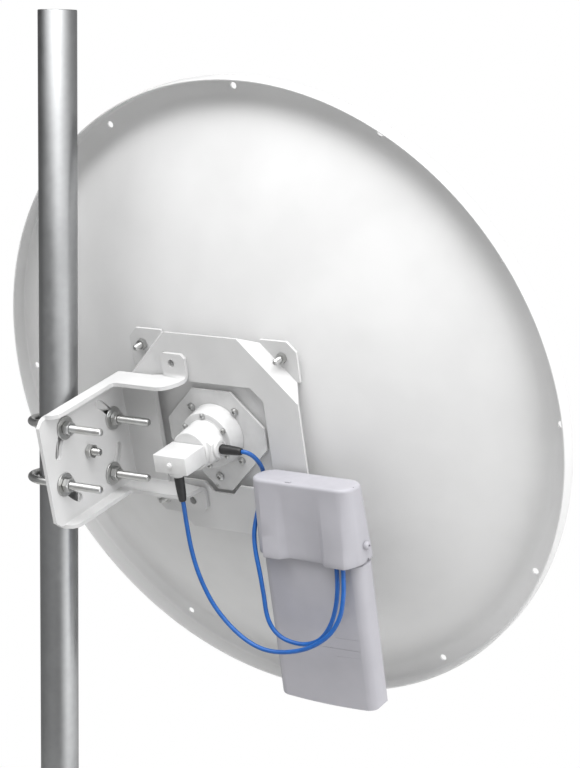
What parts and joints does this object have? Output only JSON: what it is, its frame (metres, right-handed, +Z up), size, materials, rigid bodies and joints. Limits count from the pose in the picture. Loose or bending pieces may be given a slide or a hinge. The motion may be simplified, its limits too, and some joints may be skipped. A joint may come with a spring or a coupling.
{
  "type": "parabolic dish antenna on a mast tube",
  "caption": "Parabolic dish with a rear feed and a flat radio box, on a slotted tilt bracket that two U-bolts clamp to a round mast.",
  "frame": {"origin": "centre of the flat foot of the mast", "axes": "+Z up along the mast, +Y the compass direction in which the dish looks, +X to the right seen from behind the dish"},
  "size_m": [0.68, 0.3968, 1.5],
  "materials": {
    "galvanised_steel": "hot-dip galvanised, dull satin with a faint spangle",
    "zinc_plated_steel": "bright zinc plate",
    "white_coated_steel": "white powder coat, satin",
    "dish_paint": "light grey-white powder coat, semi-gloss",
    "feed_casting": "white paint on a casting",
    "black_rubber": "moulded, satin",
    "blue_jacket": "smooth cable jacket, semi-gloss",
    "radio_plastic": "moulded light grey, fine grain",
    "radome_plastic": "moulded white"
  },
  "bodies": {
    "mast": {"mast_tube": "galvanised_steel"},
    "clamp": {"saddle_block": "zinc_plated_steel", "u_bolt_upper": "zinc_plated_steel", "u_bolt_lower": "zinc_plated_steel", "pivot_bolt": "zinc_plated_steel", "pivot_nut": "zinc_plated_steel", "leg_washer_upper_back": "zinc_plated_steel", "leg_washer_upper_front": "zinc_plated_steel", "leg_washer_lower_back": "zinc_plated_steel", "leg_washer_lower_front": "zinc_plated_steel", "leg_nut_upper_back": "zinc_plated_steel", "leg_nut_upper_front": "zinc_plated_steel", "leg_nut_lower_back": "zinc_plated_steel", "leg_nut_lower_front": "zinc_plated_steel"},
    "head": {"mount_bracket": "white_coated_steel", "mount_frame": "white_coated_steel", "dish_bowl": "dish_paint", "dish_rim": "dish_paint", "corner_bolt_upper_left": "zinc_plated_steel", "corner_bolt_upper_right": "zinc_plated_steel", "corner_bolt_lower_left": "zinc_plated_steel", "corner_bolt_lower_right": "zinc_plated_steel", "corner_nut_upper_left": "zinc_plated_steel", "corner_nut_upper_right": "zinc_plated_steel", "corner_nut_lower_left": "zinc_plated_steel", "corner_nut_lower_right": "zinc_plated_steel", "feed_plate": "feed_casting", "feed_drum": "feed_casting", "feed_body": "feed_casting", "feed_block": "feed_casting", "side_port": "feed_casting", "lower_port": "feed_casting", "side_boot": "black_rubber", "lower_boot": "black_rubber", "side_lead": "blue_jacket", "lower_lead": "blue_jacket", "radio_body": "radio_plastic", "radio_cap": "radio_plastic", "cap_screw": "radio_plastic", "radio_hanger": "white_coated_steel", "feed_tube": "feed_casting", "feed_cover": "radome_plastic"}
  },
  "joints": [
    {"name": "azimuth", "type": "hinge", "parent": "mast", "child": "clamp", "pos_m": [0, 0, 1.063], "axis": [0, 0, 1], "continuous": true},
    {"name": "elevation", "type": "hinge", "parent": "clamp", "child": "head", "pos_m": [0, 0, 1.063], "axis": [1, 0, 0], "range_deg": [-35, 5]}
  ]
}
